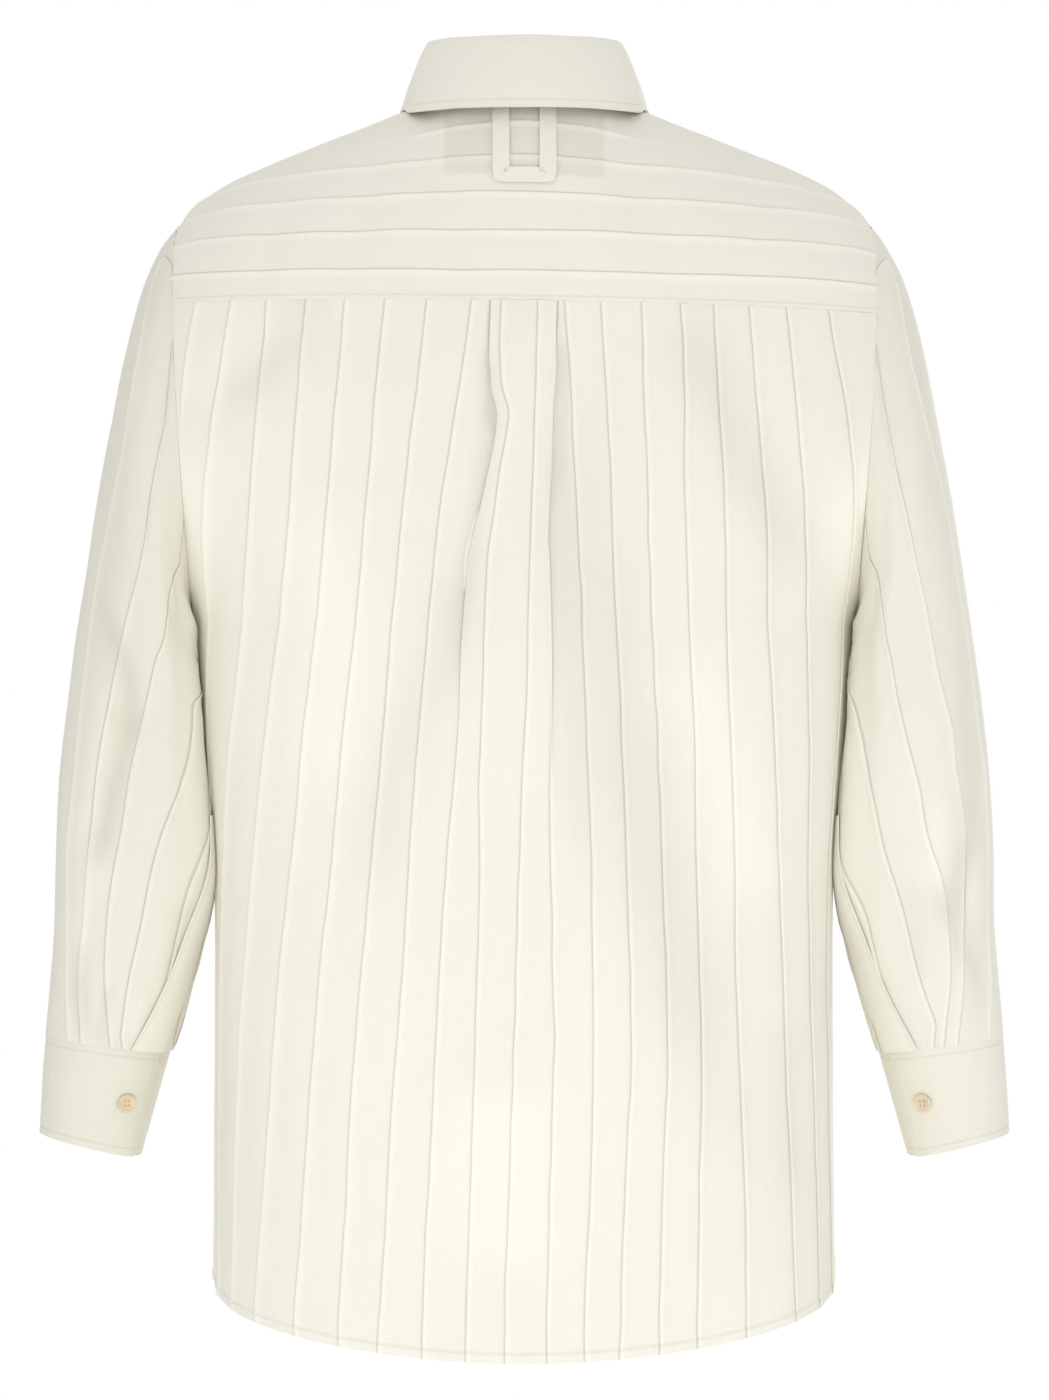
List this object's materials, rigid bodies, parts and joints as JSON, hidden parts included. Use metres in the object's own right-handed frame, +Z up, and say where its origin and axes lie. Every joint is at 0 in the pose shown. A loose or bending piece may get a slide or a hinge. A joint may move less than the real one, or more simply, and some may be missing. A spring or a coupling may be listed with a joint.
{
  "type": "blouse",
  "caption": "Oversized collared blouse with pressed tucks over body, yoke and sleeves, a centre back pleat, hanger loop and buttoned cuffs, filled out with no wearer.",
  "frame": {"origin": "middle of the neck opening, level with the collar seam at the sides, where the wearer's neck holds the garment", "axes": "+Z up along the garment's length, +Y towards the back, +X towards the wearer's left"},
  "size_m": [0.623, 0.2383, 0.8262],
  "materials": {
    "cloth": "plain-woven ivory cotton, matt, with a fine even weave",
    "button": "pale amber, softly glossy, dished, with sewing holes"
  },
  "bodies": {
    "root": {"back_panel": "cloth", "back_yoke": "cloth", "front_right": "cloth", "front_left": "cloth", "front_band": "cloth", "sleeve_left": "cloth", "sleeve_right": "cloth", "sleeve_placket_left": "cloth", "sleeve_placket_right": "cloth", "cuff_left": "cloth", "cuff_right": "cloth", "collar_stand": "cloth", "collar_leaf": "cloth", "hanger_loop": "cloth", "neck_label": "cloth", "button_front_1": "button", "button_front_2": "button", "button_front_3": "button", "button_front_4": "button", "button_front_5": "button", "button_front_6": "button", "button_front_7": "button", "button_cuff_left": "button", "button_cuff_right": "button", "button_stand": "button"}
  },
  "joints": []
}
